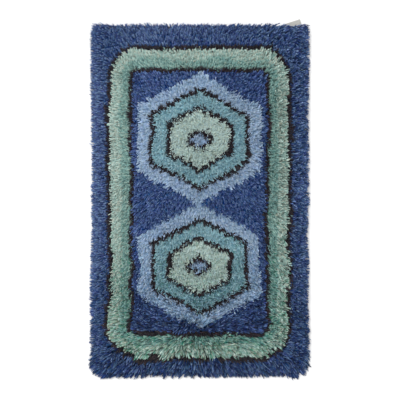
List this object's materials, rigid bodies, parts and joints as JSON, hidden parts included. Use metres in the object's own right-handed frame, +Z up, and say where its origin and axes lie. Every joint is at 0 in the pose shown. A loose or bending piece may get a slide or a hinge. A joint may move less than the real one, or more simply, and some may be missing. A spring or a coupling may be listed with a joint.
{
  "type": "rya rug",
  "caption": "Shaggy knotted wool rug lying flat, with deep uneven pile on a thin woven ground cloth, locks along its rim and a plain cloth label under one end.",
  "frame": {"origin": "on the floor, at the middle of the ground cloth's underside", "axes": "+X across the rug, +Y along it towards the end with the label, +Z up out of the pile"},
  "size_m": [1.0035, 1.6276, 0.041],
  "materials": {
    "pile_yarn": "matt wool yarn, blues and greens in patches",
    "ground_cloth": "plain woven, undyed wool and linen",
    "label_cloth": "plain woven cotton tape, blank"
  },
  "bodies": {
    "root": {"pile": "pile_yarn", "ground": "ground_cloth", "label": "label_cloth"}
  },
  "joints": []
}
